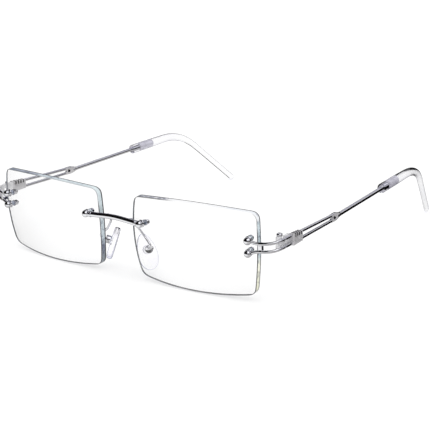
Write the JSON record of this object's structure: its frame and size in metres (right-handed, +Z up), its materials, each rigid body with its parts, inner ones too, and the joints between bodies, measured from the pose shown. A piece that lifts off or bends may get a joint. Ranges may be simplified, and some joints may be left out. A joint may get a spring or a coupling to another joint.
{
  "type": "rimless eyeglasses",
  "caption": "Rimless eyeglasses: two clear drilled lenses on a bar bridge and double-wire endpieces, slotted folding temples with clear tips, rocking nose pads.",
  "frame": {"origin": "on the table, under the middle of the glasses as they stand on the lenses' lower edges and the tips' ends", "axes": "-Y the way the lenses face, +Y back along the open temples, +X the wearer's left, +Z up"},
  "size_m": [0.1388, 0.1556, 0.0343],
  "materials": {
    "lens": "polished clear",
    "clear_tip": "polished clear",
    "clear_sleeve": "clear",
    "silicone_pad": "clear satin",
    "chrome": "polished silver plate",
    "satin_steel": "satin",
    "black_steel": "blackened"
  },
  "bodies": {
    "front": {"lens_left": "lens", "lens_screw_upper_left": "chrome", "lens_nut_upper_left": "chrome", "lens_sleeve_upper_left": "clear_sleeve", "lens_screw_lower_left": "chrome", "lens_nut_lower_left": "chrome", "lens_sleeve_lower_left": "clear_sleeve", "lens_screw_bridge_left": "chrome", "lens_nut_bridge_left": "chrome", "lens_sleeve_bridge_left": "clear_sleeve", "endpiece_left": "chrome", "pad_arm_left": "chrome", "pad_box_left": "chrome", "pad_screw_left": "chrome", "hinge_front_leaf_left": "satin_steel", "hinge_screw_left": "chrome", "lens_right": "lens", "lens_screw_upper_right": "chrome", "lens_nut_upper_right": "chrome", "lens_sleeve_upper_right": "clear_sleeve", "lens_screw_lower_right": "chrome", "lens_nut_lower_right": "chrome", "lens_sleeve_lower_right": "clear_sleeve", "lens_screw_bridge_right": "chrome", "lens_nut_bridge_right": "chrome", "lens_sleeve_bridge_right": "clear_sleeve", "endpiece_right": "chrome", "pad_arm_right": "chrome", "pad_box_right": "chrome", "pad_screw_right": "chrome", "hinge_front_leaf_right": "satin_steel", "hinge_screw_right": "chrome", "bridge": "chrome"},
    "nose_pad_left": {"nose_pad_left": "silicone_pad", "pad_stem_left": "chrome"},
    "nose_pad_right": {"nose_pad_right": "silicone_pad", "pad_stem_right": "chrome"},
    "temple_left": {"hinge_temple_leaf_left": "satin_steel", "temple_bar_left": "chrome", "temple_clasp_left": "chrome", "rail_rivet_left": "black_steel", "temple_ferrule_left": "satin_steel", "temple_tip_left": "clear_tip"},
    "temple_right": {"hinge_temple_leaf_right": "satin_steel", "temple_bar_right": "chrome", "temple_clasp_right": "chrome", "rail_rivet_right": "black_steel", "temple_ferrule_right": "satin_steel", "temple_tip_right": "clear_tip"}
  },
  "joints": [
    {"name": "temple_fold_left", "type": "hinge", "parent": "front", "child": "temple_left", "pos_m": [0.06664, -0.06422, 0.02214], "axis": [0.0012, -0.0244, 0.9997], "range_deg": [0, 86]},
    {"name": "temple_fold_right", "type": "hinge", "parent": "front", "child": "temple_right", "pos_m": [-0.06664, -0.06422, 0.02214], "axis": [0.0012, 0.0244, -0.9997], "range_deg": [0, 74]},
    {"name": "pad_rock_left", "type": "hinge", "parent": "front", "child": "nose_pad_left", "pos_m": [0.0103, -0.06667, 0.01079], "axis": [0.4696, 0.864, 0.1818], "range_deg": [-8, 8]},
    {"name": "pad_rock_right", "type": "hinge", "parent": "front", "child": "nose_pad_right", "pos_m": [-0.0103, -0.06667, 0.01079], "axis": [-0.4696, 0.864, 0.1818], "range_deg": [-8, 8]}
  ]
}
